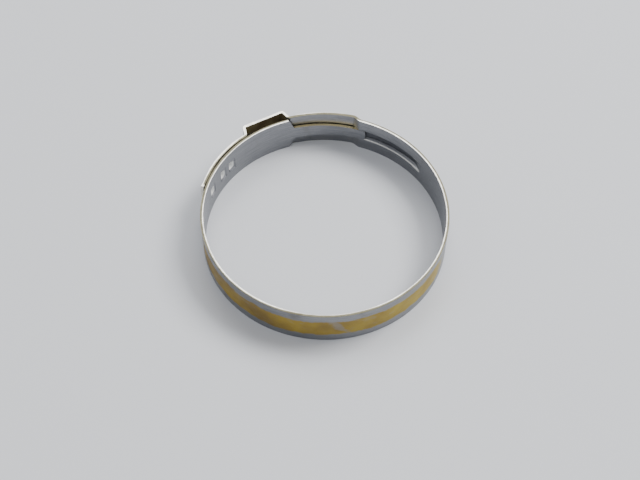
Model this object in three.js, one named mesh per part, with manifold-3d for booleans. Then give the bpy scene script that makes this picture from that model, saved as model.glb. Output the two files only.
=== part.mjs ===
import * as THREE from "three";
import { mergeVertices } from "three/addons/utils/BufferGeometryUtils.js";
import Module from "manifold-3d";

// A stepless one-ear hose clamp, bent and stamped from one steel strip, in millimetres.
// The frame: the ring's axis is +Z, the band's lower edge is at z = 0 and the ear stands on +Y.
// Angles are in degrees about +Z from +X. The strip's own order, from its inner end, is tongue,
// inner strap, hook band, hoop round to the channel, outer lap, ear and outer strap.
// Each formed section of the strip is a solid of its own, so that the sections can move.

// The strip
const bandWidth = 9;
const stripThickness = 0.6;
const innerRadius = 25.8;
const layerGap = 0.2; // between the inner and the outer layer where the strip overlaps itself
const outerLevel = innerRadius + stripThickness + layerGap; // inner face of the outer layer
const sectionGap = 0.1; // between neighbouring sections of the strip

// Facets: their usual angle on the ring, the least angle one is left with, and the counts on
// the short bends
const facetAngle = 3;
const leastFacetAngle = 0.5;
const stepFacets = 6;
const rampFacets = 5;
const hookFacets = 8;
const tipFacets = 4;
const roundingFacets = 4;
const mergeDistance = 1e-4;

// Where the sections meet, going round the ring
const rampOuterEnd = 7;
const rampInnerEnd = 11;
const stepInnerEnd = 43;
const stepOuterEnd = 49;
const lapEnd = 78.6;
const shoulderAngle = 79.6;
const underEarEnd = 104;
const tongueEnd = 41;
const strapStart = 102.8;
const strapTipStart = 136.2;
const strapTipEnd = 139.4;
const channelHinge = 2;
const frontHinge = -106.5;
const hookHinge = 145;

// Tongue and channel
const tongueRootWidth = 3.4;
const tongueEndWidth = 2.8;
const tongueEndRadius = 0.5;
const channelWidth = 3.5;
const channelFloorWidth = 4.3; // wider than the channel, so that it closes the channel behind the rails
const channelMouthWidth = 3.2; // between the two steps
const railWidth = (bandWidth - channelWidth) / 2;

// Hooks, and the windows of the outer strap that they stand through
const hooks = [
  { name: "hook_front", start: 112.4, end: 116.4 },
  { name: "hook_middle", start: 119.4, end: 123.4 },
  { name: "guide_hook", start: 130, end: 134.6 },
];
const hookWidth = 3.2;
const hookRise = 1; // sets the free edge against two thirds of the window's edge, a little proud of it
const hookRampAngle = 2.4;
const slotMargin = 0.12;
const windowMargin = 0.35;
const tipRise = 0.35;

// Ear, seen along the ring's axis
const bridgeUnderside = 28.3;
const bridgeTop = bridgeUnderside + stripThickness;
const rightInnerCorner = 4.53;
const leftInnerCorner = -4.4;
const rightOuterCorner = rightInnerCorner + stripThickness;
const leftOuterCorner = leftInnerCorner - stripThickness;
const leftHeelWidth = 1.25; // in degrees, along the strip
const rightHeelWidth = 1.3;

const steel = { color: 0x9a9ea6, roughness: 0.38, metalness: 0.9 };
const stripedSteel = { color: 0xa39a6a, roughness: 0.45, metalness: 0.7 };

const wasm = await Module();
wasm.setup();

const clamp = new THREE.Group();

function addSection(name, geometry, finish = steel) {
  const mesh = new THREE.Mesh(geometry, new THREE.MeshStandardMaterial(finish));
  mesh.name = name;
  clamp.add(mesh);
  return mesh;
}

function polar(radius, angle) {
  const turn = THREE.MathUtils.degToRad(angle);
  return new THREE.Vector2(radius * Math.cos(turn), radius * Math.sin(turn));
}

// A plan outline stood up between two heights.
function standUp(points, low, high) {
  const geometry = new THREE.ExtrudeGeometry(new THREE.Shape(points), {
    depth: high - low,
    bevelEnabled: false,
  });
  return geometry.translate(0, 0, low);
}

// The angles along a section: its two ends, and the facet lines that all sections share.
function facetAngles(start, end) {
  const angles = [start];
  let angle = (Math.floor(start / facetAngle) + 1) * facetAngle;
  while (angle < end - leastFacetAngle) {
    if (angle > start + leastFacetAngle) angles.push(angle);
    angle += facetAngle;
  }
  angles.push(end);
  return angles;
}

// A section of strip that follows level(angle), the radius of its inner face.
function bentStrip(level, start, end, low = 0, high = bandWidth, angles = facetAngles(start, end)) {
  const outer = angles.map((angle) => polar(level(angle) + stripThickness, angle));
  const inner = angles.map((angle) => polar(level(angle), angle));
  return standUp([...outer.reverse(), ...inner].reverse(), low, high);
}

// Half of the gap between sections, as an angle at a radius.
function gapAngle(radius) {
  return THREE.MathUtils.radToDeg(sectionGap / 2 / radius);
}

const innerGap = gapAngle(innerRadius);
const outerGap = gapAngle(outerLevel);
const atInner = () => innerRadius;
const atOuter = () => outerLevel;

// A smooth rise from 0 to 1 between two angles.
function smoothRise(start, end) {
  return (angle) => THREE.MathUtils.smoothstep(angle, start, end);
}

function evenAngles(start, end, count) {
  return Array.from({ length: count + 1 }, (_, i) => start + ((end - start) * i) / count);
}

// A geometry as a manifold solid, and back.
function toSolid(geometry) {
  const bare = geometry.clone();
  bare.deleteAttribute("normal");
  bare.deleteAttribute("uv");
  const merged = mergeVertices(bare, mergeDistance);
  return new wasm.Manifold(
    new wasm.Mesh({
      numProp: 3,
      vertProperties: merged.attributes.position.array,
      triVerts: new Uint32Array(merged.index.array),
    }),
  );
}

function toGeometry(solid) {
  const mesh = solid.getMesh();
  const geometry = new THREE.BufferGeometry();
  geometry.setAttribute("position", new THREE.BufferAttribute(mesh.vertProperties, 3));
  geometry.setIndex(new THREE.BufferAttribute(mesh.triVerts, 1));
  geometry.computeVertexNormals();
  return geometry;
}

// Cuts one opening through a section for each hook, a margin larger than the hook all round.
function cutForHooks(geometry, margin) {
  const edge = THREE.MathUtils.radToDeg(margin / innerRadius);
  let solid = toSolid(geometry);
  for (const hook of hooks) {
    const deep = innerRadius - stripThickness;
    const proud = outerLevel + 2 * stripThickness;
    const start = hook.start - edge;
    const end = hook.end + edge;
    const corners = [polar(deep, start), polar(proud, start), polar(proud, end), polar(deep, end)];
    const low = (bandWidth - hookWidth) / 2 - margin;
    solid = solid.subtract(toSolid(standUp(corners.reverse(), low, bandWidth - low)));
  }
  return toGeometry(solid);
}

// The right section, which holds the channel that the tongue slides in.
function addChannelSection() {
  const topRail = bandWidth - railWidth;
  const floorLow = (bandWidth - channelFloorWidth) / 2;
  const mouthLow = (bandWidth - channelMouthWidth) / 2;
  const rise = smoothRise(stepInnerEnd, stepOuterEnd);
  const stepLevel = (angle) => innerRadius + (outerLevel - innerRadius) * rise(angle);
  const fall = smoothRise(rampOuterEnd, rampInnerEnd);
  const rampLevel = (angle) => innerRadius + (outerLevel - innerRadius) * fall(angle);
  const stepAngles = evenAngles(stepInnerEnd + innerGap, stepOuterEnd - outerGap, stepFacets);
  const rampAngles = evenAngles(rampOuterEnd + innerGap, rampInnerEnd - outerGap, rampFacets);
  const lapFrom = stepOuterEnd + outerGap;
  const railTo = stepInnerEnd - innerGap;
  const stepFrom = stepAngles[0];
  const stepTo = stepAngles.at(-1);
  addSection("outer_lap", bentStrip(atOuter, lapFrom, lapEnd - outerGap));
  const rails = { lower: [0, railWidth], upper: [topRail, bandWidth] };
  for (const [side, [low, high]] of Object.entries(rails)) {
    addSection(`${side}_step`, bentStrip(stepLevel, stepFrom, stepTo, low, high, stepAngles));
    addSection(`${side}_rail`, bentStrip(atInner, rampOuterEnd + innerGap, railTo, low, high));
  }
  const floorFrom = rampInnerEnd + outerGap;
  const floorTo = stepInnerEnd - outerGap;
  const mouthFrom = stepInnerEnd + outerGap;
  addSection("channel_floor", bentStrip(atOuter, floorFrom, floorTo, floorLow, bandWidth - floorLow));
  addSection("channel_mouth", bentStrip(atOuter, mouthFrom, stepTo, mouthLow, bandWidth - mouthLow));
  const rampLow = railWidth + sectionGap;
  const rampHigh = topRail - sectionGap;
  const ramp = bentStrip(rampLevel, rampAngles[0], rampAngles.at(-1), rampLow, rampHigh, rampAngles);
  addSection("channel_ramp", ramp);
  addSection("hoop_start", bentStrip(atInner, channelHinge + innerGap, rampOuterEnd - innerGap));
}

function addHoop() {
  const right = bentStrip(atInner, frontHinge + innerGap, channelHinge - innerGap);
  addSection("hoop_right", right, stripedSteel);
  const left = bentStrip(atInner, hookHinge - 360 + innerGap, frontHinge - innerGap);
  addSection("hoop_left", left, stripedSteel);
}

// The tongue narrows towards its end, which is rounded off. It is a long box with one row of
// faces for each angle along it, bent round the ring and drawn in to the tongue's width.
function addTongue() {
  const middle = bandWidth / 2;
  const root = shoulderAngle - innerGap;
  const arcOf = (angle) => THREE.MathUtils.degToRad(angle - tongueEnd) * innerRadius;
  const taper = (tongueRootWidth - tongueEndWidth) / 2 / arcOf(root);
  const halfWidth = (angle) => {
    const along = arcOf(angle);
    const full = tongueEndWidth / 2 + taper * along;
    const inward = Math.max(tongueEndRadius - along, 0);
    return full - tongueEndRadius + Math.sqrt(tongueEndRadius ** 2 - inward ** 2);
  };
  const roundingEnd = tongueEnd + THREE.MathUtils.radToDeg(tongueEndRadius / innerRadius);
  const rounding = evenAngles(tongueEnd, roundingEnd, roundingFacets);
  const angles = [...rounding, ...facetAngles(roundingEnd, root).slice(1)].reverse();
  const rows = angles.length - 1;
  const tongue = new THREE.BoxGeometry(rows, 2, 2, rows).translate(rows / 2, 0, 0);
  const place = tongue.attributes.position;
  for (let i = 0; i < place.count; i += 1) {
    const angle = angles[Math.round(place.getX(i))];
    const point = polar(place.getY(i) > 0 ? innerRadius + stripThickness : innerRadius, angle);
    place.setXYZ(i, point.x, point.y, middle + place.getZ(i) * halfWidth(angle));
  }
  tongue.computeVertexNormals();
  addSection("tongue", tongue);
}

// The left section: the hook band, the strap that runs on under the ear, and the tongue.
function addInnerStrap() {
  const band = bentStrip(atInner, underEarEnd + innerGap, hookHinge - innerGap);
  addSection("hook_band", cutForHooks(band, slotMargin));
  addSection("inner_strap", bentStrip(atInner, shoulderAngle + innerGap, underEarEnd - innerGap));
  addTongue();
  for (const hook of hooks) {
    const rise = smoothRise(hook.start, hook.start + hookRampAngle);
    const level = (angle) => innerRadius + hookRise * rise(angle);
    const low = (bandWidth - hookWidth) / 2;
    const angles = evenAngles(hook.start, hook.end, hookFacets);
    const wedge = bentStrip(level, hook.start, hook.end, low, bandWidth - low, angles);
    addSection(hook.name, wedge);
  }
}

function addOuterStrap() {
  const strap = bentStrip(atOuter, strapStart + outerGap, strapTipStart - outerGap);
  addSection("outer_strap", cutForHooks(strap, windowMargin));
  const rise = smoothRise(strapTipStart, strapTipEnd);
  const level = (angle) => outerLevel + tipRise * rise(angle);
  const angles = evenAngles(strapTipStart + outerGap, strapTipEnd, tipFacets);
  addSection("strap_tip", bentStrip(level, angles[0], strapTipEnd, 0, bandWidth, angles));
}

// The ear: two legs and a bridge that folds in its middle. Each link turns about a point at the
// closing side of its bend, so the links never meet as the ear is pinched.
function addEar() {
  const half = sectionGap / 2;
  const lapCorner = polar(outerLevel + stripThickness, lapEnd);
  const strapCorner = polar(outerLevel + stripThickness, strapStart);
  const rightLeg = [
    new THREE.Vector2(lapCorner.x - half, lapCorner.y),
    new THREE.Vector2(rightOuterCorner, bridgeUnderside - half),
    new THREE.Vector2(rightInnerCorner, bridgeUnderside - half),
    polar(outerLevel, lapEnd + rightHeelWidth),
    polar(outerLevel, lapEnd + 2 * outerGap),
  ];
  addSection("ear_right_leg", standUp(rightLeg, 0, bandWidth));
  const leftLeg = [
    new THREE.Vector2(strapCorner.x + sectionGap, strapCorner.y),
    polar(outerLevel, strapStart - 3 * outerGap),
    polar(outerLevel, strapStart - leftHeelWidth),
    new THREE.Vector2(leftInnerCorner, bridgeUnderside - half),
    new THREE.Vector2(leftOuterCorner, bridgeUnderside - half),
  ];
  addSection("ear_left_leg", standUp(leftLeg, 0, bandWidth));
  const sides = { right: [half, rightOuterCorner], left: [leftOuterCorner, -half] };
  for (const [side, [from, to]] of Object.entries(sides)) {
    const bridge = [
      new THREE.Vector2(from, bridgeUnderside),
      new THREE.Vector2(to, bridgeUnderside),
      new THREE.Vector2(to, bridgeTop),
      new THREE.Vector2(from, bridgeTop),
    ];
    addSection(`ear_${side}_bridge`, standUp(bridge, 0, bandWidth));
  }
}

addChannelSection();
addHoop();
addInnerStrap();
addOuterStrap();
addEar();

export default clamp;
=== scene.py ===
import math

import bmesh
import bpy
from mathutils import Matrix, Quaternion, Vector


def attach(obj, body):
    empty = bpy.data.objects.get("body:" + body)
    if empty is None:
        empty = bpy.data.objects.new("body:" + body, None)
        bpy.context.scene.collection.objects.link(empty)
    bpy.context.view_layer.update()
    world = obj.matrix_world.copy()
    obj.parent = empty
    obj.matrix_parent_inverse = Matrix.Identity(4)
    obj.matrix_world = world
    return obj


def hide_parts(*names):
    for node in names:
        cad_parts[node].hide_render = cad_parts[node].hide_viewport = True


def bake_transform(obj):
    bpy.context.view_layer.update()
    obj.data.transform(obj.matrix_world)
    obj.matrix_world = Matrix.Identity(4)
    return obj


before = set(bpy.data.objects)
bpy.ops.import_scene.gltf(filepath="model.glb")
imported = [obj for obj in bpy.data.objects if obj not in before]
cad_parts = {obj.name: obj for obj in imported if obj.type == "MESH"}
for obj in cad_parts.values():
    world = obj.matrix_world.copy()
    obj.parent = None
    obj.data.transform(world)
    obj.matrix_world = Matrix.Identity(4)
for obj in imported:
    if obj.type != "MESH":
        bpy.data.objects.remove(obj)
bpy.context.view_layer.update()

mm = 0.001

# One strip of steel all the way round: lengths in millimetres, angles in degrees about the ring's axis
strip = {
    "width": 9.0,
    "thickness": 0.6,
    "innerRadius": 25.8,
    "layerGap": 0.2,
    "edgeRound": 0.075,
    "edgeAngle": 50.0,
    "seamReach": 0.012,  # how far a cut end may stand off its seam's plane and still lie in it
}
innerMid = strip["innerRadius"] + strip["thickness"] / 2
outerMid = innerMid + strip["thickness"] + strip["layerGap"]
midHeight = strip["width"] / 2


def polar(radius, angle):
    turn = math.radians(angle)
    return Vector((radius * math.cos(turn), radius * math.sin(turn)))


def smooth(value, start, end):
    t = min(max((value - start) / (end - start), 0.0), 1.0)
    return t * t * (3 - 2 * t)


def onBand(point):
    return (point[0] * mm, point[1] * mm, midHeight * mm)


# The strip's node tree: a path swept to a sheet, then pressed outwards

def addNode(tree, kind, **settings):
    node = tree.nodes.new(kind)
    for key, value in settings.items():
        setattr(node, key, value)
    return node


def mathNode(tree, operation, first, second=None, clamp=False):
    node = addNode(tree, "ShaderNodeMath", operation=operation, use_clamp=clamp)
    for socket, value in zip(node.inputs, (first, second)):
        if value is None:
            continue
        if isinstance(value, (int, float)):
            socket.default_value = value
        else:
            tree.links.new(value, socket)
    return node.outputs[0]


def readAttribute(tree, name):
    node = addNode(tree, "GeometryNodeInputNamedAttribute", data_type="FLOAT")
    node.inputs["Name"].default_value = name
    return node.outputs["Attribute"]


def buildStripTree():
    tree = bpy.data.node_groups.new("pressedStrip", "GeometryNodeTree")
    face = tree.interface
    face.new_socket("Path", in_out="INPUT", socket_type="NodeSocketGeometry")
    for name, value in (
        ("Strip Width", strip["width"] * mm),
        ("Mid Height", midHeight * mm),
        ("Press Depth", 0.0),
        ("Floor Half Width", 0.001),
        ("Wall Width", 0.001),
    ):
        socket = face.new_socket(name, in_out="INPUT", socket_type="NodeSocketFloat")
        socket.default_value = value
    rows = face.new_socket("Rows Across", in_out="INPUT", socket_type="NodeSocketInt")
    rows.default_value = 18
    face.new_socket("Steel", in_out="INPUT", socket_type="NodeSocketMaterial")
    face.new_socket("Strip", in_out="OUTPUT", socket_type="NodeSocketGeometry")
    given = addNode(tree, "NodeGroupInput").outputs

    # the path, with its normals level so that the strip stands upright
    path = addNode(tree, "GeometryNodeMeshToCurve")
    tree.links.new(given["Path"], path.inputs["Mesh"])
    upright = addNode(tree, "GeometryNodeSetCurveNormal")
    if hasattr(upright, "mode"):
        upright.mode = "Z_UP"
    tree.links.new(path.outputs["Curve"], upright.inputs["Curve"])

    # a straight section across the strip
    half = mathNode(tree, "MULTIPLY", given["Strip Width"], 0.5)
    low = addNode(tree, "ShaderNodeCombineXYZ")
    high = addNode(tree, "ShaderNodeCombineXYZ")
    tree.links.new(mathNode(tree, "MULTIPLY", half, -1.0), low.inputs["Y"])
    tree.links.new(half, high.inputs["Y"])
    line = addNode(tree, "GeometryNodeCurvePrimitiveLine")
    tree.links.new(low.outputs[0], line.inputs["Start"])
    tree.links.new(high.outputs[0], line.inputs["End"])
    section = addNode(tree, "GeometryNodeResampleCurve")
    tree.links.new(line.outputs["Curve"], section.inputs["Curve"])
    tree.links.new(mathNode(tree, "ADD", given["Rows Across"], 1.0), section.inputs["Count"])
    sweep = addNode(tree, "GeometryNodeCurveToMesh")
    tree.links.new(upright.outputs["Curve"], sweep.inputs["Curve"])
    tree.links.new(section.outputs["Curve"], sweep.inputs["Profile Curve"])

    # draw the strip in to its share of the width
    place = addNode(tree, "GeometryNodeInputPosition")
    parts = addNode(tree, "ShaderNodeSeparateXYZ")
    tree.links.new(place.outputs[0], parts.inputs[0])
    across = mathNode(tree, "SUBTRACT", parts.outputs["Z"], given["Mid Height"])
    across = mathNode(tree, "MULTIPLY", across, readAttribute(tree, "share"))
    newHeight = mathNode(tree, "ADD", across, given["Mid Height"])

    # press it outwards: all of it by "lift", the channel by "press"
    fromMiddle = mathNode(tree, "ABSOLUTE", across)
    fromFloor = mathNode(tree, "SUBTRACT", fromMiddle, given["Floor Half Width"])
    wall = addNode(tree, "ShaderNodeMapRange", interpolation_type="SMOOTHSTEP")
    tree.links.new(fromFloor, wall.inputs["Value"])
    tree.links.new(given["Wall Width"], wall.inputs["From Max"])
    wall.inputs["To Min"].default_value = 1.0
    wall.inputs["To Max"].default_value = 0.0
    channel = mathNode(tree, "MULTIPLY", wall.outputs["Result"], readAttribute(tree, "press"))
    pressed = mathNode(tree, "MAXIMUM", channel, readAttribute(tree, "lift"))
    outward = mathNode(tree, "MULTIPLY", pressed, given["Press Depth"])
    flat = addNode(tree, "ShaderNodeCombineXYZ")
    tree.links.new(parts.outputs["X"], flat.inputs["X"])
    tree.links.new(parts.outputs["Y"], flat.inputs["Y"])
    radial = addNode(tree, "ShaderNodeVectorMath", operation="NORMALIZE")
    tree.links.new(flat.outputs[0], radial.inputs[0])
    shift = addNode(tree, "ShaderNodeVectorMath", operation="SCALE")
    tree.links.new(radial.outputs[0], shift.inputs[0])
    tree.links.new(outward, shift.inputs["Scale"])
    newPlace = addNode(tree, "ShaderNodeCombineXYZ")
    tree.links.new(parts.outputs["X"], newPlace.inputs["X"])
    tree.links.new(parts.outputs["Y"], newPlace.inputs["Y"])
    tree.links.new(newHeight, newPlace.inputs["Z"])
    move = addNode(tree, "GeometryNodeSetPosition")
    tree.links.new(sweep.outputs["Mesh"], move.inputs["Geometry"])
    tree.links.new(newPlace.outputs[0], move.inputs["Position"])
    tree.links.new(shift.outputs[0], move.inputs["Offset"])

    real = addNode(tree, "GeometryNodeRealizeInstances")
    tree.links.new(move.outputs["Geometry"], real.inputs["Geometry"])
    paint = addNode(tree, "GeometryNodeSetMaterial")
    tree.links.new(real.outputs["Geometry"], paint.inputs["Geometry"])
    tree.links.new(given["Steel"], paint.inputs["Material"])
    out = addNode(tree, "NodeGroupOutput")
    tree.links.new(paint.outputs["Geometry"], out.inputs["Strip"])
    return tree


stripTree = buildStripTree()
print("strip tree built")


# The steel: rolled grain, sheared edges, brown film, painted highlights on hooks, edges, channel bends and
# tongue, painted shade in the channel, and the stripe

def colourRamp(tree, factor, stops):
    ramp = addNode(tree, "ShaderNodeValToRGB")
    elements = ramp.color_ramp.elements
    while len(elements) < len(stops):
        elements.new(0.5)
    for element, (position, colour) in zip(elements, stops):
        element.position = position
        element.color = (*colour, 1.0)
    tree.links.new(factor, ramp.inputs["Fac"])
    return ramp.outputs["Color"]


def noiseAt(tree, coordinates, scale, detail=3.0, roughness=0.55, stretch=(1.0, 1.0, 1.0), shift=(0, 0, 0)):
    mapping = addNode(tree, "ShaderNodeMapping")
    mapping.inputs["Scale"].default_value = stretch
    mapping.inputs["Location"].default_value = shift
    tree.links.new(coordinates, mapping.inputs["Vector"])
    noise = addNode(tree, "ShaderNodeTexNoise")
    noise.inputs["Scale"].default_value = scale
    noise.inputs["Detail"].default_value = detail
    noise.inputs["Roughness"].default_value = roughness
    tree.links.new(mapping.outputs[0], noise.inputs["Vector"])
    return noise.outputs["Fac"]


def mixColour(tree, factor, first, second):
    mix = addNode(tree, "ShaderNodeMix", data_type="RGBA")
    for socket, value in ((mix.inputs[0], factor), (mix.inputs[6], first), (mix.inputs[7], second)):
        if isinstance(value, (int, float)):
            socket.default_value = value
        elif isinstance(value, tuple):
            socket.default_value = (*value, 1.0)
        else:
            tree.links.new(value, socket)
    return mix.outputs[2]


def mapRange(tree, value, fromMin, fromMax, toMin=0.0, toMax=1.0, kind="SMOOTHSTEP"):
    node = addNode(tree, "ShaderNodeMapRange", interpolation_type=kind)
    tree.links.new(value, node.inputs["Value"])
    for name, number in (("From Min", fromMin), ("From Max", fromMax), ("To Min", toMin), ("To Max", toMax)):
        node.inputs[name].default_value = number
    return node.outputs["Result"]


def rising(tree, value, limits, unit=1.0):
    # 0 below the first limit, 1 above the second
    return mapRange(tree, value, limits[0] * unit, limits[1] * unit)


def falling(tree, value, limits, unit=1.0):
    return mapRange(tree, value, limits[0] * unit, limits[1] * unit, 1.0, 0.0)


def product(tree, first, *others):
    for other in others:
        first = mathNode(tree, "MULTIPLY", first, other)
    return first


steelLook = {
    "dark": (0.19, 0.195, 0.21),
    "mid": (0.25, 0.255, 0.27),
    "light": (0.325, 0.327, 0.337),
    # sheared-edge burnish, near white as a painted highlight
    "edge": (0.92, 0.89, 0.80),
    "burr": (0.17, 0.155, 0.095),
    # painted highlight on the tongue's long edges
    "tongueEdgeLight": (0.95, 0.80, 0.42),
    # painted highlight along the channel's bends
    "bendHighlight": (0.80, 0.79, 0.74),
    # painted highlight in the deep of the hooks
    "hookHighlight": (0.98, 0.97, 0.93),
    "smudge": (0.16, 0.145, 0.12),
    "film": (0.17, 0.11, 0.04),
    "filmPale": (0.29, 0.235, 0.10),
    # painted shade on the channel floor
    "shade": (0.10, 0.105, 0.12),
    "roughness": (0.26, 0.44),
    "smudgeDepth": 0.42,
    "shadeDepth": 0.75,
    "bendHighlightDepth": 0.85,
    "filmDepth": 0.9,
    "hookHighlightDepth": 0.95,
    "edgeHighlightDepth": 0.92,
    "tipHighlightDepth": 0.9,
    "tongueEdgeLightDepth": 0.9,
    "tornWander": 0.12,  # mm
    "reliefStrength": 0.22,
    "reliefDepth": 0.03,  # mm
}

# Where each finish starts and is full, in millimetres: x and y about the ring's axis, radius from it,
# off the middle of the strip's width, and facing, which is the radius times how far the face looks outwards
steelZones = {
    "facesInward": (-16.0, -8.0),
    "facesOutward": (8.0, 16.0),
    "facesAlong": (10.0, 16.0),
    "channelX": (16.5, 19.0),
    "channelFloor": (1.2, 1.6),
    "channelFloorRadius": (26.2, 26.5),
    "channelBendRadius": (25.95, 26.15),
    "channelBendEnd": (2.4, 2.8),
    "leftOfEarX": (-6.8, -5.5),
    "earSideY": (16.5, 17.5),
    "innerStrapRadius": (26.55, 26.7),
    "outerStrapRadius": (26.5, 26.6),
    "pastHooks": (1.7, 2.0),
    "earY": (26.6, 27.2),
    "earFacing": (0.0, 4.0),
    "earFilmEdge": (1.2, 2.1),
    "hooksX": (-9.5, -8.5),
    "hookWidth": (1.5, 1.6),
    "hookFacing": (-8.0, -3.0),
    "hookRadius": (25.96, 26.1),
    "tipX": (-19.9, -19.7),
    "stripEdge": (3.8, 4.1),
    "tornInner": (25.96, 26.12),
    "tornOuter": (27.02, 27.14),
    "tongueWidth": (2.1, 2.3),
    "tongueX": (3.0, 4.0),
    "tongueY": (17.8, 18.6),
}

stripeLook = {
    "from": -199.0,
    "to": -47.0,
    "fade": 10.0,
    "halfWidth": 2.4,
    "softness": 0.25,
    "wander": 0.3,
    "endWander": 4.0,
    "deep": (0.20, 0.12, 0.004),
    "mid": (0.345, 0.225, 0.007),
    "pale": (0.48, 0.345, 0.022),
    "cover": 0.94,
    "litEndPaling": 0.0022,  # painted light: how much paler it gets per degree towards the channel end
    "breakAngle": -111.0,
    "breakSlant": 1500.0,  # degrees per metre of width
    "breakWander": 2.2,
    "breakRagged": 5000.0,  # degrees per metre of raggedness
    "breakWidth": (0.2, 2.0),
    "breakLeft": 0.5,
    "rubbedThin": 0.72,
}


def addStripe(tree, here, x, y, z, offMiddle, facing):
    # how much of the stripe's colour lies at a spot, and that colour
    look = stripeLook
    middle = (look["from"] + look["to"]) / 2
    # the angle is counted from the stripe's middle, so that its jump falls on the bare side of the ring
    turnBack = math.radians(-middle)
    cos, sin = math.cos(turnBack), math.sin(turnBack)
    alongX = mathNode(tree, "SUBTRACT", product(tree, x, cos), product(tree, y, sin))
    alongY = mathNode(tree, "ADD", product(tree, x, sin), product(tree, y, cos))
    angle = product(tree, mathNode(tree, "ARCTAN2", alongY, alongX), 180.0 / math.pi)

    wander = noiseAt(tree, here, 130.0, detail=3.0, shift=(0.5, 0.2, 0.9))
    wanderWide = mapRange(tree, wander, 0.25, 0.75, -1.0, 1.0, "LINEAR")
    ragged = mapRange(tree, noiseAt(tree, here, 520.0, detail=3.0), 0.25, 0.75,
                      -look["wander"] * mm, look["wander"] * mm, "LINEAR")
    fromEnd = mathNode(tree, "SUBTRACT", (look["to"] - look["from"]) / 2, mathNode(tree, "ABSOLUTE", angle))
    fromEnd = mathNode(tree, "ADD", fromEnd, product(tree, wanderWide, look["endWander"]))
    inLength = rising(tree, fromEnd, (0.0, look["fade"]))
    fromMiddle = mathNode(tree, "ADD", offMiddle, product(tree, wanderWide, look["wander"] * mm))
    fromMiddle = mathNode(tree, "ADD", fromMiddle, ragged)
    sides = (look["halfWidth"] - look["softness"], look["halfWidth"] + look["softness"])
    inWidth = falling(tree, fromMiddle, sides, mm)

    # a slanting scuff where the colour has rubbed off
    slant = product(tree, mathNode(tree, "SUBTRACT", z, midHeight * mm), look["breakSlant"])
    fromBreak = mathNode(tree, "ADD", mathNode(tree, "SUBTRACT", angle, look["breakAngle"] - middle), slant)
    fromBreak = mathNode(tree, "ABSOLUTE", fromBreak)
    fromBreak = mathNode(tree, "ADD", fromBreak, product(tree, wanderWide, look["breakWander"]))
    fromBreak = mathNode(tree, "ADD", fromBreak, product(tree, ragged, look["breakRagged"]))
    whole = mapRange(tree, fromBreak, *look["breakWidth"], look["breakLeft"], 1.0)

    # outer face only, and rubbed thin here and there
    outer = rising(tree, facing, steelZones["facesOutward"], mm)
    speckle = noiseAt(tree, here, 300.0, detail=4.0, stretch=(1.0, 1.0, 2.0))
    worn = mapRange(tree, speckle, 0.28, 0.46, look["rubbedThin"], 1.0)
    mask = product(tree, inLength, inWidth, whole, outer, worn)

    # painted light: paler towards the stripe's channel end, with random depth of colour on top
    depth = mathNode(tree, "ADD", wander, product(tree, angle, look["litEndPaling"]))
    ink = colourRamp(tree, depth, ((0.3, look["deep"]), (0.52, look["mid"]), (0.75, look["pale"])))
    return mask, ink


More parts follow.
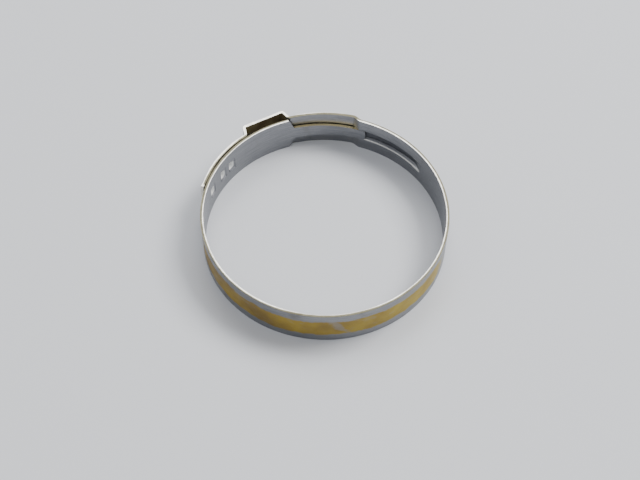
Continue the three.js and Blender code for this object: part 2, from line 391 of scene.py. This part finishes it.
def buildSteel(name, striped):
    material = bpy.data.materials.new(name)
    material.use_nodes = True
    tree = material.node_tree
    tree.nodes.clear()
    output = addNode(tree, "ShaderNodeOutputMaterial")
    shader = addNode(tree, "ShaderNodeBsdfPrincipled")
    tree.links.new(shader.outputs[0], output.inputs["Surface"])
    look, zone = steelLook, steelZones
    # place and normal as they were with the clamp at rest, so that the finish moves with the steel
    here = addNode(tree, "ShaderNodeAttribute", attribute_name="restPlace").outputs["Vector"]
    normal = addNode(tree, "ShaderNodeAttribute", attribute_name="restNormal").outputs["Vector"]

    # rolling grain: long along the strip, fine across it
    grain = noiseAt(tree, here, 260.0, detail=4.0, stretch=(1.0, 1.0, 26.0))
    fineGrain = noiseAt(tree, here, 900.0, detail=2.0, stretch=(1.0, 1.0, 22.0), shift=(0.3, 0.1, 0.7))
    cloud = noiseAt(tree, here, 170.0, detail=4.0, roughness=0.6)
    broad = noiseAt(tree, here, 55.0, detail=2.0, shift=(1.7, 0.4, 0.0))
    pits = noiseAt(tree, here, 1500.0, detail=2.0, shift=(0.0, 2.0, 1.0))
    colour = colourRamp(tree, grain, ((0.28, look["dark"]), (0.52, look["mid"]), (0.78, look["light"])))
    paler = mixColour(tree, 0.35, colour, look["light"])
    colour = mixColour(tree, rising(tree, broad, (0.35, 0.7)), colour, paler)
    smudged = mapRange(tree, cloud, 0.56, 0.74, 0.0, look["smudgeDepth"])
    colour = mixColour(tree, smudged, colour, look["smudge"])

    # where on the strip: place, distance from the axis, and which way the face looks
    spot = addNode(tree, "ShaderNodeSeparateXYZ")
    tree.links.new(here, spot.inputs[0])
    x, y, z = (spot.outputs[axis] for axis in "XYZ")
    level = addNode(tree, "ShaderNodeCombineXYZ")
    tree.links.new(x, level.inputs["X"])
    tree.links.new(y, level.inputs["Y"])
    reach = addNode(tree, "ShaderNodeVectorMath", operation="LENGTH")
    tree.links.new(level.outputs[0], reach.inputs[0])
    radius = reach.outputs["Value"]
    outwards = addNode(tree, "ShaderNodeVectorMath", operation="DOT_PRODUCT")
    tree.links.new(normal, outwards.inputs[0])
    tree.links.new(here, outwards.inputs[1])
    facing = outwards.outputs["Value"]
    offMiddle = mathNode(tree, "ABSOLUTE", mathNode(tree, "SUBTRACT", z, midHeight * mm))
    turned = addNode(tree, "ShaderNodeSeparateXYZ")
    tree.links.new(normal, turned.inputs[0])
    upDown = mathNode(tree, "ABSOLUTE", turned.outputs["Z"])

    # the channel: painted shade on its floor, and a painted highlight along its bends
    inward = falling(tree, facing, zone["facesInward"], mm)
    atChannel = rising(tree, x, zone["channelX"], mm)
    floorShadeMask = product(tree, falling(tree, offMiddle, zone["channelFloor"], mm), inward,
                        rising(tree, radius, zone["channelFloorRadius"], mm))
    colour = mixColour(tree, product(tree, floorShadeMask, atChannel, look["shadeDepth"]), colour, look["shade"])
    # painted highlight along the channel's convex bends, on faces that look up or down
    bendHighlightMask = product(tree, rising(tree, upDown, (0.15, 0.4)), atChannel,
                   falling(tree, radius, zone["channelBendRadius"], mm),
                   falling(tree, offMiddle, zone["channelBendEnd"], mm))
    colour = mixColour(tree, product(tree, bendHighlightMask, look["bendHighlightDepth"]), colour, look["bendHighlight"])

    # brown film between the two layers left of the ear and inside the ear
    earSide = rising(tree, y, zone["earSideY"], mm)
    leftLayers = product(tree, falling(tree, x, zone["leftOfEarX"], mm), earSide)
    underStrap = product(tree, rising(tree, facing, zone["facesOutward"], mm),
                         falling(tree, radius, zone["innerStrapRadius"], mm))
    strapInside = product(tree, inward, rising(tree, radius, zone["outerStrapRadius"], mm),
                          rising(tree, offMiddle, zone["pastHooks"], mm))
    between = product(tree, mathNode(tree, "MAXIMUM", underStrap, strapInside), leftLayers,
                      mapRange(tree, cloud, 0.3, 0.6, 0.35, 0.75))
    inEar = product(tree, rising(tree, y, zone["earY"], mm), falling(tree, facing, zone["earFacing"], mm),
                    falling(tree, upDown, (0.3, 0.5)), rising(tree, offMiddle, zone["earFilmEdge"], mm))
    filmed = product(tree, mathNode(tree, "MAXIMUM", between, inEar), look["filmDepth"])
    oily = mixColour(tree, rising(tree, cloud, (0.4, 0.62)), look["film"], look["filmPale"])
    colour = mixColour(tree, filmed, colour, oily)

    # painted highlight in the deep of each hook, on the faces that do not look down
    hookHighlightMask = product(tree, rising(tree, turned.outputs["Z"], (-0.3, 0.0)), earSide,
                        falling(tree, x, zone["hooksX"], mm), falling(tree, offMiddle, zone["hookWidth"], mm),
                        falling(tree, facing, zone["hookFacing"], mm),
                        rising(tree, radius, zone["hookRadius"], mm))
    colour = mixColour(tree, product(tree, hookHighlightMask, look["hookHighlightDepth"]), colour, look["hookHighlight"])

    # sheared edges: a bright burnished line, its near-white colour partly a painted highlight, and a duller
    # torn line between the layers
    edge = product(tree, rising(tree, upDown, (0.4, 0.8)), rising(tree, offMiddle, zone["stripEdge"], mm))
    wavy = mapRange(tree, broad, 0.3, 0.7, -look["tornWander"] * mm, look["tornWander"] * mm, "LINEAR")
    tornLine = mathNode(tree, "ADD", radius, wavy)
    torn = product(tree, rising(tree, tornLine, zone["tornInner"], mm),
                   falling(tree, tornLine, zone["tornOuter"], mm))
    edgeHighlightAndBurr = mixColour(tree, torn, look["edge"], look["burr"])
    colour = mixColour(tree, product(tree, edge, look["edgeHighlightDepth"]), colour, edgeHighlightAndBurr)

    # the outer strap's free end gets the same near-white sheared-edge colour, partly a painted highlight
    turnedAway = mathNode(tree, "ABSOLUTE", facing)
    tipHighlight = product(tree, falling(tree, turnedAway, zone["facesAlong"], mm), earSide,
                      falling(tree, x, zone["tipX"], mm), rising(tree, radius, zone["outerStrapRadius"], mm))
    colour = mixColour(tree, product(tree, tipHighlight, look["tipHighlightDepth"]), colour, look["edge"])

    # painted highlight: the tongue's long edges get a warm, lit colour
    tongueEdgeLit = product(tree, rising(tree, upDown, (0.3, 0.7)),
                         falling(tree, offMiddle, zone["tongueWidth"], mm),
                         rising(tree, y, zone["tongueY"], mm), rising(tree, x, zone["tongueX"], mm))
    colour = mixColour(tree, product(tree, tongueEdgeLit, look["tongueEdgeLightDepth"]), colour, look["tongueEdgeLight"])

    # film, lacquer and the painted hook highlight hide the bare metal; torn edges and smudges are rougher
    rough = mapRange(tree, fineGrain, 0.3, 0.7, *look["roughness"], "LINEAR")
    rough = mathNode(tree, "ADD", rough, product(tree, smudged, 0.3))
    rough = mathNode(tree, "ADD", rough, product(tree, hookHighlightMask, 0.15))
    rough = mathNode(tree, "ADD", rough, product(tree, edge, torn, 0.12))
    bare = mathNode(tree, "SUBTRACT", 1.0, product(tree, filmed, 0.85))
    bare = mathNode(tree, "SUBTRACT", bare, product(tree, hookHighlightMask, 0.75), clamp=True)
    if striped:
        mask, ink = addStripe(tree, here, x, y, z, offMiddle, facing)
        colour = mixColour(tree, product(tree, mask, stripeLook["cover"]), colour, ink)
        bare = mathNode(tree, "SUBTRACT", bare, product(tree, mask, 0.7), clamp=True)
        rough = mathNode(tree, "ADD", rough, product(tree, mask, 0.16))
    tree.links.new(colour, shader.inputs["Base Color"])
    tree.links.new(rough, shader.inputs["Roughness"])
    tree.links.new(bare, shader.inputs["Metallic"])

    # relief: rolling grain and small pits
    height = mathNode(tree, "ADD", product(tree, grain, 0.5), product(tree, fineGrain, 0.35))
    height = mathNode(tree, "ADD", height, product(tree, pits, 0.15))
    bump = addNode(tree, "ShaderNodeBump")
    bump.inputs["Strength"].default_value = look["reliefStrength"]
    bump.inputs["Distance"].default_value = look["reliefDepth"] * mm
    tree.links.new(height, bump.inputs["Height"])
    tree.links.new(bump.outputs[0], shader.inputs["Normal"])
    return material


bareSteel = buildSteel("bareSteel", False)
stripedSteel = buildSteel("stripedSteel", True)
print("steel mixed")


# Paths and pieces

def evaluated(obj):
    bpy.context.view_layer.update()
    seen = obj.evaluated_get(bpy.context.evaluated_depsgraph_get())
    return bpy.data.meshes.new_from_object(seen)


def bareObject(name, mesh):
    obj = bpy.data.objects.new(name, mesh)
    bpy.context.scene.collection.objects.link(obj)
    return obj


def sweepSheet(name, points, rows, steel, shares=None, lifts=None, presses=None, sizes=None):
    # share is the strip's part of its full width, lift and press how far it is pushed out (0 to 1)
    path = bpy.data.meshes.new(name + "Path")
    path.from_pydata([onBand(p) for p in points], [(i, i + 1) for i in range(len(points) - 1)], [])
    for key, values, plain in (("share", shares, 1.0), ("lift", lifts, 0.0), ("press", presses, 0.0)):
        layer = path.attributes.new(key, "FLOAT", "POINT")
        layer.data.foreach_set("value", values or [plain] * len(points))
    obj = bareObject(name, path)
    modifier = obj.modifiers.new("strip", "NODES")
    modifier.node_group = stripTree
    items = stripTree.interface.items_tree
    sockets = {item.name: item.identifier for item in items if item.in_out == "INPUT"}
    modifier[sockets["Rows Across"]] = rows
    modifier[sockets["Steel"]] = steel
    for key, value in (sizes or {}).items():
        modifier[sockets[key]] = value * mm
    sheet = evaluated(obj)
    obj.modifiers.clear()
    obj.data = sheet
    return obj


def cutWindow(obj, start, end, radius, halfWidth, corner):
    # an opening with rounded corners, cut in the sheet before it gets its thickness
    bm = bmesh.new()
    bm.from_mesh(obj.data)
    middle = (start + end) / 2
    reach = math.radians((end - start) / 2) * radius + 1.0
    centre = Vector((*polar(radius, middle), midHeight)) * mm
    near = (reach * mm, (halfWidth + 0.8) * mm)
    planes = []
    for angle, sign in ((start, -1), (end, 1)):
        along = Vector((-math.sin(math.radians(angle)), math.cos(math.radians(angle)), 0.0)) * sign
        at = Vector((*polar(radius, angle), midHeight)) * mm
        planes.append((at, along))
        for up in (-1, 1):
            for k in (1, 2, 3):
                turn = math.radians(22.5 * k)
                normal = along * math.cos(turn) + Vector((0, 0, up)) * math.sin(turn)
                hub = at - along * corner * mm + Vector((0, 0, up * (halfWidth - corner) * mm))
                planes.append((hub + normal * corner * mm, normal))
    for up in (-1, 1):
        planes.append((centre + Vector((0, 0, up * halfWidth * mm)), Vector((0, 0, up))))
    for at, normal in planes:
        faces = [f for f in bm.faces
                 if (f.calc_center_median() - centre).length < near[0] + near[1]
                 and abs(f.calc_center_median().z - centre.z) < near[1]]
        corners = {v for f in faces for v in f.verts}
        sides = {e for f in faces for e in f.edges}
        parts = list(corners) + list(sides) + faces
        bmesh.ops.bisect_plane(bm, geom=parts, plane_co=at, plane_no=normal, dist=1e-7)
    gone = [f for f in bm.faces
            if (f.calc_center_median() - centre).length < near[0] + near[1]
            and all((f.calc_center_median() - at).dot(normal) < 0 for at, normal in planes)]
    bmesh.ops.delete(bm, geom=gone, context="FACES")
    bm.to_mesh(obj.data)
    bm.free()


def keepRest(mesh):
    # the steel reads these two instead of the bent mesh's own place and normals
    place = mesh.attributes.new("restPlace", "FLOAT_VECTOR", "POINT")
    place.data.foreach_set("vector", [v for vertex in mesh.vertices for v in vertex.co])
    normal = mesh.attributes.new("restNormal", "FLOAT_VECTOR", "CORNER")
    normal.data.foreach_set("vector", [v for corner in mesh.corner_normals for v in corner.vector])


def liesOnSeam(point, at, normal):
    offset = point - at
    return abs(offset.dot(normal)) < strip["seamReach"] * mm and offset.xy.length < 1.0 * mm


def giveThickness(obj, seams, thickness=None, edgeRound=None):
    solid = obj.modifiers.new("thickness", "SOLIDIFY")
    solid.thickness = (thickness or strip["thickness"]) * mm
    solid.offset = 0.0
    solid.use_even_offset = True
    solid.use_quality_normals = True
    mesh = evaluated(obj)
    obj.modifiers.clear()
    obj.data = mesh
    bm = bmesh.new()
    bm.from_mesh(mesh)
    bmesh.ops.remove_doubles(bm, verts=bm.verts, dist=2e-6)
    bmesh.ops.recalc_face_normals(bm, faces=bm.faces)
    weight = bm.edges.layers.float.get("bevel_weight_edge") or bm.edges.layers.float.new("bevel_weight_edge")
    for edge in bm.edges:
        if len(edge.link_faces) != 2 or edge.calc_face_angle() < math.radians(strip["edgeAngle"]):
            continue
        onSeam = any(all(liesOnSeam(v.co, at, normal) for v in edge.verts) for at, normal in seams)
        edge[weight] = 0.0 if onSeam else 1.0
        edge.smooth = not onSeam
    bm.to_mesh(mesh)
    bm.free()
    bevel = obj.modifiers.new("edges", "BEVEL")
    bevel.limit_method = "WEIGHT"
    bevel.width = (edgeRound or strip["edgeRound"]) * mm
    bevel.segments = 2
    bevel.use_clamp_overlap = True
    bevel.harden_normals = True
    for polygon in mesh.polygons:
        polygon.use_smooth = True
    mesh = evaluated(obj)
    obj.modifiers.clear()
    obj.data = mesh
    keepRest(mesh)


def seamAt(point, direction):
    return Vector(onBand(point)), Vector((direction[0], direction[1], 0.0)).normalized()


def radialSeam(angle, radius=innerMid):
    turn = math.radians(angle)
    return seamAt(polar(radius, angle), (-math.sin(turn), math.cos(turn)))


def spaced(start, end, step):
    count = max(1, math.ceil(abs(end - start) / step))
    return [start + (end - start) * i / count for i in range(count + 1)]


def angleRun(knots, steps):
    # angles from knot to knot, each stretch with its own step
    angles = [knots[0]]
    for start, end, step in zip(knots, knots[1:], steps):
        angles += spaced(start, end, step)[1:]
    return angles


def finishPiece(obj, slotName, *nodes):
    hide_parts(*nodes)


def bendBetween(obj):
    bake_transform(obj)


# The band: the channel section, from the hoop up to the lap over the tongue
channel = {
    "seamAngle": -46.0,
    "lapSeam": 75.5,
    "rampStart": 5.6,
    "rampEnd": 12.6,
    "stepStart": 43.6,
    "stepEnd": 48.2,
    "depth": strip["thickness"] + strip["layerGap"],
    "floorHalfWidth": 1.22,
    "wallWidth": 0.42,
    "knots": (4.0, 13.0, 41.0, 50.0),
    "steps": (1.5, 0.3, 1.0, 0.25, 1.5),
    "rows": 90,
    "bendFrom": 7.0,
    "bendTo": -30.0,
}


def buildChannelBand():
    angles = angleRun((channel["seamAngle"], *channel["knots"], channel["lapSeam"]), channel["steps"])
    points = [polar(innerMid, a) for a in angles]
    lifts = [smooth(a, channel["stepStart"], channel["stepEnd"]) for a in angles]
    presses = [smooth(a, channel["rampStart"], channel["rampEnd"]) for a in angles]
    obj = sweepSheet("channelBand", points, channel["rows"], bareSteel, lifts=lifts, presses=presses,
                     sizes={"Press Depth": channel["depth"], "Floor Half Width": channel["floorHalfWidth"],
                            "Wall Width": channel["wallWidth"]})
    giveThickness(obj, [radialSeam(channel["seamAngle"]), radialSeam(channel["lapSeam"])])
    finishPiece(obj, "bare_strip", "hoop_start", "channel_ramp", "channel_floor", "channel_mouth",
                "upper_rail", "lower_rail", "upper_step", "lower_step", "outer_lap")
    bendBetween(obj)


buildChannelBand()
print("channel band made")

# The hoop, which carries most of the stripe
hoop = {
    "from": -186.0,
    "to": channel["seamAngle"],
    "step": 1.25,
    "rows": 36,
    "bendFrom": -137.0,
    "bendTo": -76.0,
}


def buildHoop():
    points = [polar(innerMid, a) for a in spaced(hoop["from"], hoop["to"], hoop["step"])]
    obj = sweepSheet("stripedHoop", points, hoop["rows"], stripedSteel)
    giveThickness(obj, [radialSeam(hoop["from"]), radialSeam(hoop["to"])])
    finishPiece(obj, "striped_strip", "hoop_right", "hoop_left")
    bendBetween(obj)


buildHoop()
print("hoop made")

# The hook band, the strap under the ear and the tongue, in one run of strip
hookBand = {
    "tongueEnd": 41.0,
    "tongueEndWidth": 2.8,
    "tongueRootWidth": 3.4,
    "tongueRadius": 0.6,
    "shoulderStart": 76.8,
    "shoulderEnd": 80.2,
    "seamAngle": hoop["from"] + 360.0,
    "knots": (42.6, 76.4, 80.6, 111.0, 136.0),
    "steps": (0.16, 1.3, 0.14, 1.1, 0.5, 1.25),
    "rows": 60,
    "bendFrom": 168.0,
    "bendTo": 141.0,
    "slotLap": 0.05,
    "slotCorner": 0.12,
}
hooks = {
    "hook_front": {"start": 112.4, "end": 116.4},
    "hook_middle": {"start": 119.4, "end": 123.4},
    "guide_hook": {"start": 130.0, "end": 134.6},
}
hookSize = {
    "width": 3.2,
    "thickness": 0.42,
    "rise": 1.12,
    "rampAngle": 3.0,
    "crownHalfWidth": 0.28,
    "sideWidth": 1.24,
    "slotGap": 0.35,
    "edgeRound": 0.05,
    "step": 0.16,
    "rows": 32,
}


def tongueShare(angle):
    along = math.radians(angle - hookBand["tongueEnd"]) * strip["innerRadius"]
    rootAlong = math.radians(hookBand["shoulderStart"] - hookBand["tongueEnd"]) * strip["innerRadius"]
    taper = hookBand["tongueRootWidth"] - hookBand["tongueEndWidth"]
    half = (hookBand["tongueEndWidth"] + taper * min(along / rootAlong, 1.0)) / 2
    radius = hookBand["tongueRadius"]
    inward = max(radius - along, 0.0)
    half += math.sqrt(max(radius ** 2 - inward ** 2, 0.0)) - radius
    half += (midHeight - half) * smooth(angle, hookBand["shoulderStart"], hookBand["shoulderEnd"])
    return half / midHeight


def buildHookBand():
    angles = angleRun((hookBand["tongueEnd"], *hookBand["knots"], hookBand["seamAngle"]), hookBand["steps"])
    points = [polar(innerMid, a) for a in angles]
    shares = [tongueShare(a) for a in angles]
    obj = sweepSheet("hookBand", points, hookBand["rows"], stripedSteel, shares=shares)
    lap = math.degrees(hookBand["slotLap"] / innerMid)
    gap = math.degrees(hookSize["slotGap"] / innerMid)
    for hook in hooks.values():
        cutWindow(obj, hook["start"] + lap, hook["end"] + gap, innerMid,
                  hookSize["width"] / 2 - hookBand["slotLap"], hookBand["slotCorner"])
    giveThickness(obj, [radialSeam(hookBand["seamAngle"])])
    finishPiece(obj, "bare_strip", "hook_band", "inner_strap", "tongue")
    bendBetween(obj)


def buildHook(name, hook):
    # lanced across its free end and drawn outwards into a scoop that is closed at its root
    angles = spaced(hook["start"], hook["end"], hookSize["step"])
    points = [polar(innerMid, a) for a in angles]
    presses = [smooth(a, hook["start"], hook["start"] + hookSize["rampAngle"]) for a in angles]
    obj = sweepSheet(name + "_scoop", points, hookSize["rows"], bareSteel, presses=presses,
                     sizes={"Strip Width": hookSize["width"], "Press Depth": hookSize["rise"],
                            "Floor Half Width": hookSize["crownHalfWidth"],
                            "Wall Width": hookSize["sideWidth"]})
    giveThickness(obj, [radialSeam(hook["start"])], hookSize["thickness"], hookSize["edgeRound"])
    finishPiece(obj, "bare_strip", name)
    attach(obj, "hook_section")


buildHookBand()
for hookName, hookPlace in hooks.items():
    buildHook(hookName, hookPlace)
print("hook band and hooks made")

# The ear, drawn along the middle of its strip
ear = {
    "rightFoot": Vector((4.98, 26.42)),
    "rightCorner": Vector((4.48, 28.66)),
    "leftCorner": Vector((-5.12, 28.66)),
    "footRadius": 0.55,
    "cornerRadius": 0.44,
    "bridgeSplit": 2.3,
    "legSplit": 0.5,
    "rows": 24,
    "pivot": Vector((-6.0261, 26.5241)),
    "pivotOut": 0.02,
    "knuckleRadius": 0.32,
    "knuckleTurn": 122.0,
    "knuckleSteps": 17,
    "shownSteps": 8,
    "tuckedShare": 0.992,  # the hidden end is drawn in a little, clear of the strap's edges
    "lapEnd": 78.0,
    "rightFootAngle": 79.19,
    "bendReach": 0.62,
    "middleReach": 1.6,
}


def turnedBy(arm, angle):
    cos, sin = math.cos(angle), math.sin(angle)
    return Vector((arm.x * cos - arm.y * sin, arm.x * sin + arm.y * cos))


def rounded(previous, corner, following, radius, step=7.0):
    # the arc that rounds a corner of the path, from its start to its end
    inTo = (corner - previous).normalized()
    outOf = (following - corner).normalized()
    turn = math.atan2(inTo.x * outOf.y - inTo.y * outOf.x, inTo.dot(outOf))
    cut = radius * math.tan(abs(turn) / 2)
    side = 1 if turn > 0 else -1
    start = corner - inTo * cut
    centre = start + Vector((-inTo.y, inTo.x)) * side * radius
    arm = start - centre
    count = max(3, math.ceil(math.degrees(abs(turn)) / step))
    return [centre + turnedBy(arm, turn * i / count) for i in range(count + 1)]


def straight(start, end, step=0.25):
    count = max(1, math.ceil((end - start).length / step))
    return [start.lerp(end, i / count) for i in range(count + 1)]


def chain(*runs):
    points = []
    for run in runs:
        for point in run:
            if not points or (point - points[-1]).length > 1e-4:
                points.append(point)
    return points


def sweepEar(name, node, points, seams, shares=None):
    obj = sweepSheet(name, points, ear["rows"], bareSteel, shares=shares)
    giveThickness(obj, seams)
    finishPiece(obj, "bare_strip", node)
    return obj


def buildEar():
    lapBefore = polar(outerMid, ear["lapEnd"])
    rightFoot = rounded(lapBefore, ear["rightFoot"], ear["rightCorner"], ear["footRadius"])
    rightCorner = rounded(ear["rightFoot"], ear["rightCorner"], ear["leftCorner"], ear["cornerRadius"])
    rightLegMiddle = ear["rightFoot"].lerp(ear["rightCorner"], ear["legSplit"])
    legWay = (ear["rightCorner"] - ear["rightFoot"]).normalized()
    bridgeRight = Vector((ear["bridgeSplit"], ear["rightCorner"].y))
    bridgeLeft = Vector((-ear["bridgeSplit"], ear["leftCorner"].y))
    # the left leg runs down to a knuckle round the point where the strap hinges
    hub = ear["pivot"] * (1 + ear["pivotOut"] / ear["pivot"].length)
    toHub = hub - ear["leftCorner"]
    distance = toHub.length
    lean = math.asin(ear["knuckleRadius"] / distance)
    legDown = turnedBy(toHub.normalized(), lean)
    touch = ear["leftCorner"] + legDown * distance * math.cos(lean)
    arm = touch - hub
    leftCorner = rounded(bridgeLeft, ear["leftCorner"], touch, ear["cornerRadius"])
    steps = ear["knuckleSteps"]
    knuckle = [hub + turnedBy(arm, -math.radians(ear["knuckleTurn"]) * i / steps) for i in range(steps + 1)]

    # right foot: the lap's end and the lower half of the right leg
    lapArc = [polar(outerMid, a) for a in spaced(channel["lapSeam"], ear["lapEnd"], 0.5)]
    points = chain(lapArc, rightFoot, straight(rightFoot[-1], rightLegMiddle, 0.12))
    obj = sweepEar("earRightFoot", "ear_right_leg", points,
                   [radialSeam(channel["lapSeam"], outerMid), seamAt(rightLegMiddle, legWay)])
    bendBetween(obj)

    # right corner: the upper half of the leg and the right end of the bridge
    points = chain(straight(rightLegMiddle, rightCorner[0], 0.12), rightCorner,
                   straight(rightCorner[-1], bridgeRight))
    obj = sweepEar("earRightCorner", "ear_right_bridge", points,
                   [seamAt(rightLegMiddle, legWay), seamAt(bridgeRight, (1, 0))])
    bendBetween(obj)

    # the bridge, one piece across its middle, where the ear folds
    points = straight(bridgeRight, bridgeLeft, 0.15)
    obj = sweepEar("earBridge", "ear_left_bridge", points,
                   [seamAt(bridgeRight, (1, 0)), seamAt(bridgeLeft, (1, 0))])
    bendBetween(obj)

    # the left end of the bridge, the left leg and its knuckle
    points = chain(straight(bridgeLeft, leftCorner[0]), leftCorner,
                   straight(leftCorner[-1], touch, 0.12), knuckle)
    shown = len(points) - len(knuckle) + ear["shownSteps"]
    shares = [1.0 if i <= shown else ear["tuckedShare"] for i in range(len(points))]
    obj = sweepEar("earLeftLeg", "ear_left_leg", points, [seamAt(bridgeLeft, (1, 0))], shares)
    bendBetween(obj)


buildEar()
print("ear made")

# The outer strap, with a window over each hook
strap = {
    "start": 102.8,
    "tipStart": 135.4,
    "tipEnd": 139.4,
    "tipRise": 0.14,
    "bow": 0.16,
    "windowMargin": 0.35,
    "windowCorner": 0.3,
    "tipCorner": 0.45,
    "bowRise": 110.0,
    "bowFall": (123.0, 134.0),
    "knots": (111.0, 135.5),
    "steps": (0.5, 0.5, 0.2),
    "rows": 45,
}


def buildStrap():
    points, shares = [], []
    for angle in angleRun((strap["start"], *strap["knots"], strap["tipEnd"]), strap["steps"]):
        bow = strap["bow"] * smooth(angle, strap["start"], strap["bowRise"])
        bow *= 1 - smooth(angle, *strap["bowFall"])
        level = outerMid + bow + strap["tipRise"] * smooth(angle, strap["tipStart"], strap["tipEnd"])
        points.append(polar(level, angle))
        left = math.radians(strap["tipEnd"] - angle) * outerMid
        inward = max(strap["tipCorner"] - left, 0.0)
        drawn = strap["tipCorner"] - math.sqrt(max(strap["tipCorner"] ** 2 - inward ** 2, 0.0))
        shares.append((midHeight - drawn) / midHeight)
    obj = sweepSheet("outerStrap", points, strap["rows"], bareSteel, shares=shares)
    edge = math.degrees(strap["windowMargin"] / innerMid)
    for hook in hooks.values():
        cutWindow(obj, hook["start"] - edge, hook["end"] + edge, outerMid,
                  hookSize["width"] / 2 + strap["windowMargin"], strap["windowCorner"])
    giveThickness(obj, [radialSeam(strap["start"], outerMid)])
    finishPiece(obj, "bare_strip", "outer_strap", "strap_tip")
    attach(obj, "strap_section")


buildStrap()
print("outer strap made")


# Floor, light and camera
floorLook = {"halfSize": 3.0, "colour": (0.70, 0.71, 0.73), "roughness": 0.9}


def buildFloor():
    size = floorLook["halfSize"]
    mesh = bpy.data.meshes.new("floor")
    corners = [(-size, -size, 0), (size, -size, 0), (size, size, 0), (-size, size, 0)]
    mesh.from_pydata(corners, [], [(0, 1, 2, 3)])
    floor = bareObject("floor", mesh)
    paper = bpy.data.materials.new("paleFloor")
    paper.use_nodes = True
    shader = paper.node_tree.nodes["Principled BSDF"]
    shader.inputs["Base Color"].default_value = (*floorLook["colour"], 1.0)
    shader.inputs["Roughness"].default_value = floorLook["roughness"]
    mesh.materials.append(paper)


shot = {
    "distance": 258.0,
    "azimuth": -29.0,
    "elevation": 55.2,
    "roll": 0.66,
    "focal": 1182.0,
    "aimRight": 4.4,
    "aimUp": 5.6,
    "sensor": 36.0,
    "frameWidth": 640.0,
}


def placeAround(azimuth, elevation, distance):
    a, e = math.radians(azimuth), math.radians(elevation)
    return Vector((math.sin(a) * math.cos(e), -math.cos(a) * math.cos(e), math.sin(e))) * distance


def placeCamera():
    data = bpy.data.cameras.new("camera")
    data.sensor_width = shot["sensor"]
    data.lens = shot["focal"] * shot["sensor"] / shot["frameWidth"]
    data.clip_start = 0.01
    data.clip_end = 20.0
    camera = bpy.data.objects.new("camera", data)
    bpy.context.scene.collection.objects.link(camera)
    place = placeAround(shot["azimuth"], shot["elevation"], shot["distance"] * mm)
    forward = -place.normalized()
    turn = forward.to_track_quat("-Z", "Y")
    right = turn @ Vector((1, 0, 0))
    up = turn @ Vector((0, 1, 0))
    # the ring's axis meets the floor a little right of and above the middle of the frame
    aside = right * shot["aimRight"] + up * shot["aimUp"]
    look = (forward - aside / shot["focal"]).normalized()
    turn = look.to_track_quat("-Z", "Y")
    camera.rotation_mode = "QUATERNION"
    camera.rotation_quaternion = turn @ Quaternion((0, 0, 1), math.radians(shot["roll"]))
    camera.location = place
    bpy.context.scene.camera = camera


lamps = {
    "keyLight": {"azimuth": 88, "elevation": 50, "distance": 1.1, "size": 0.5, "power": 13},
    "rimLight": {"azimuth": 151, "elevation": 55, "distance": 1.2, "size": 0.7, "power": 7},
    "fillLight": {"azimuth": -120, "elevation": 40, "distance": 1.2, "size": 0.8, "power": 2},
    "frontLight": {"azimuth": -35, "elevation": 62, "distance": 1.2, "size": 0.5, "power": 2.5},
}
studio = {"colour": (0.80, 0.85, 0.95), "strength": 0.34}


def addLamp(name, lamp):
    data = bpy.data.lights.new(name, "AREA")
    data.shape = "SQUARE"
    data.size = lamp["size"]
    data.energy = lamp["power"]
    light = bpy.data.objects.new(name, data)
    bpy.context.scene.collection.objects.link(light)
    light.location = placeAround(lamp["azimuth"], lamp["elevation"], lamp["distance"])
    light.rotation_euler = (-Vector(light.location)).to_track_quat("-Z", "Y").to_euler()


def setLights():
    world = bpy.data.worlds.new("studio")
    bpy.context.scene.world = world
    world.use_nodes = True
    background = world.node_tree.nodes["Background"]
    background.inputs["Color"].default_value = (*studio["colour"], 1.0)
    background.inputs["Strength"].default_value = studio["strength"]
    for name, lamp in lamps.items():
        addLamp(name, lamp)


buildFloor()
placeCamera()
setLights()
print("floor, lights and camera set")
